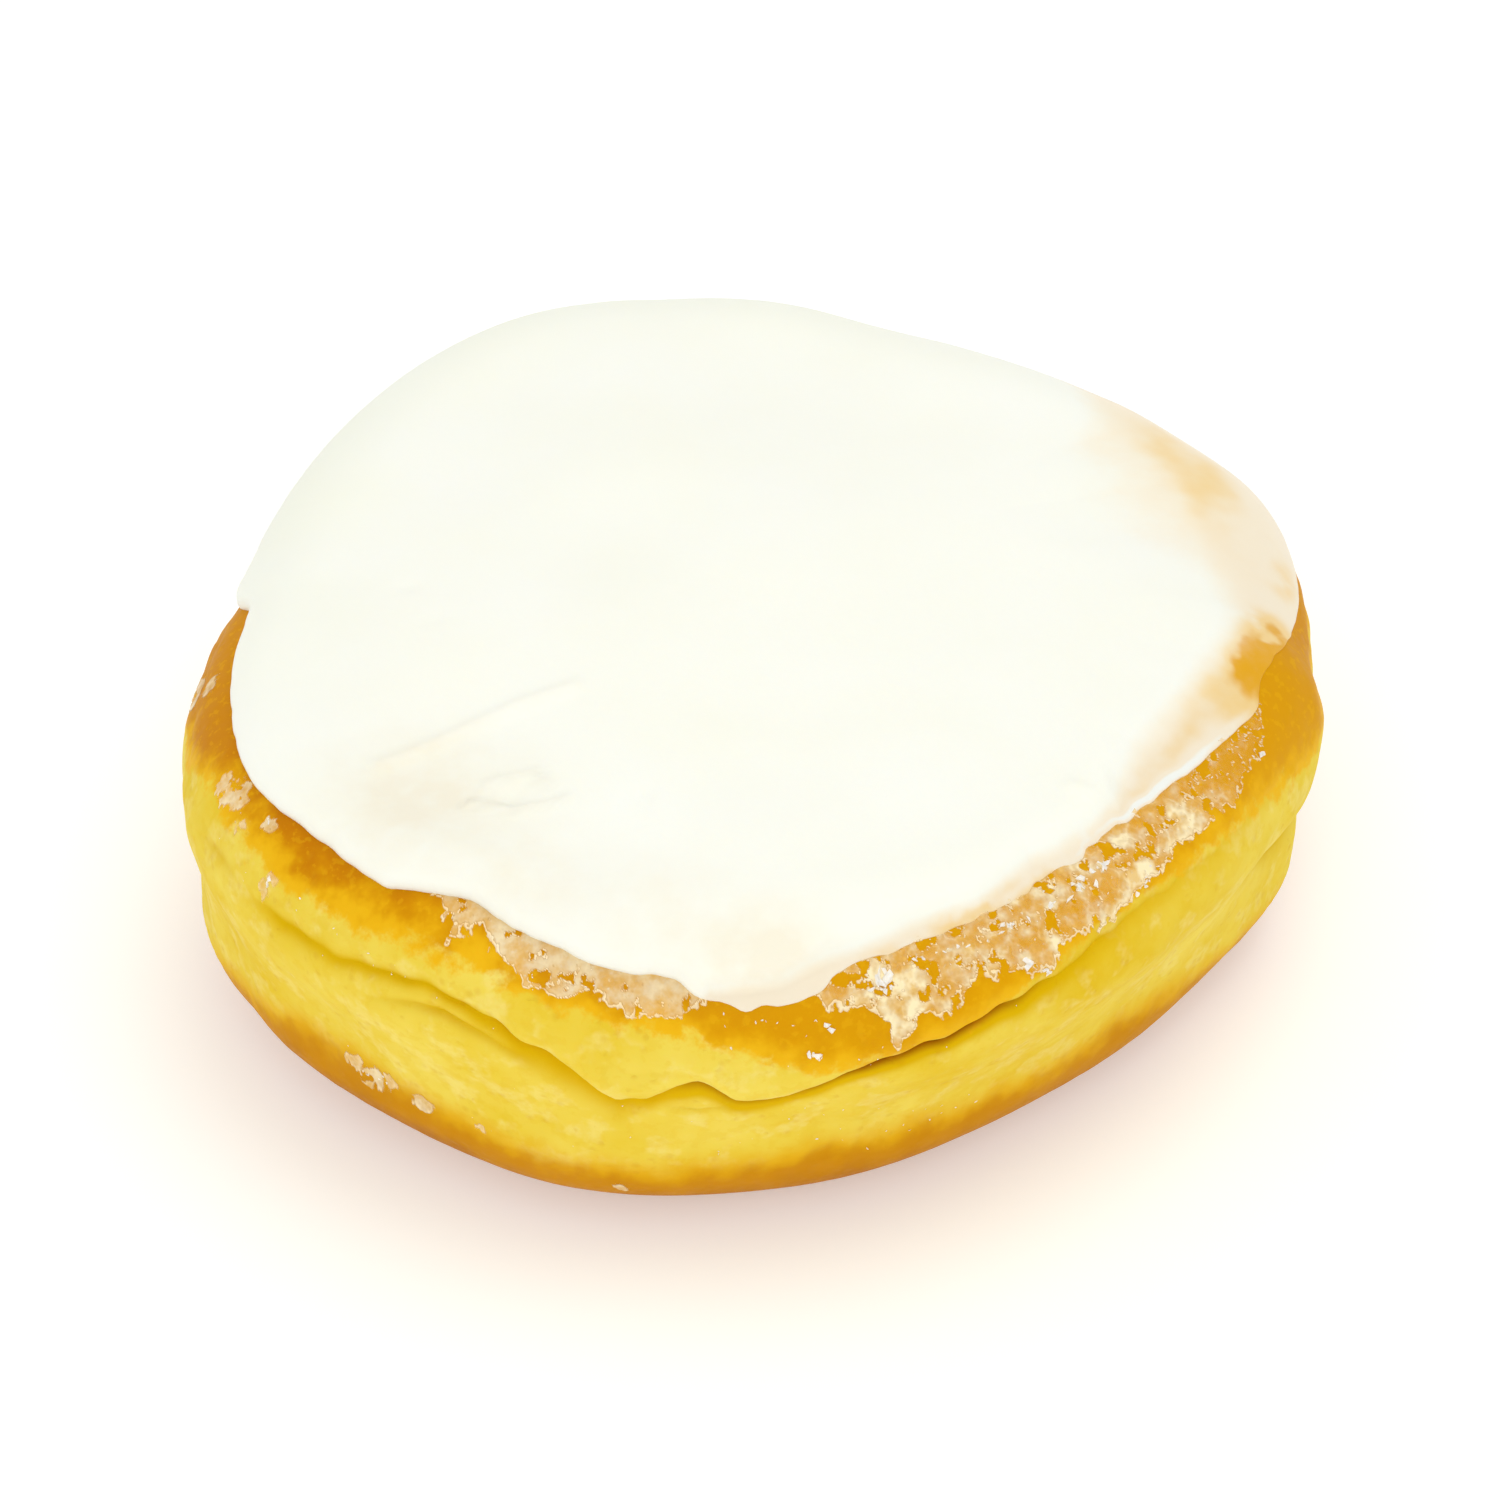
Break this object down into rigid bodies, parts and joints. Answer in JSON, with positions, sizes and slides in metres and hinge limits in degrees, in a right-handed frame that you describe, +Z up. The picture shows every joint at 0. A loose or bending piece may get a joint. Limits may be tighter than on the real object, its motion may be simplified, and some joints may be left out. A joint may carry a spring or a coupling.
{
  "type": "filled doughnut",
  "caption": "Round filled doughnut, slightly egg-shaped in plan, with a flat base, a folded pale waist and white icing over the top.",
  "frame": {"origin": "middle of the flat base's plane, below the middle of the object's box", "axes": "+Z up through the icing, -Y towards the front where the icing hangs lowest and the side fold dips, +X to the right seen from the front"},
  "size_m": [0.0928, 0.0948, 0.0335],
  "materials": {
    "dough": "soft fried dough, golden brown above and below with a pale yellow waist, matte with a faint oily sheen",
    "icing": "smooth ivory-white icing, set to a soft satin skin",
    "glaze": "thin dried sugar glaze, cloudy, with white crystalline edges"
  },
  "bodies": {
    "root": {"dough": "dough", "icing": "icing", "glaze_smear_front": "glaze", "glaze_smear_right": "glaze"}
  },
  "joints": []
}
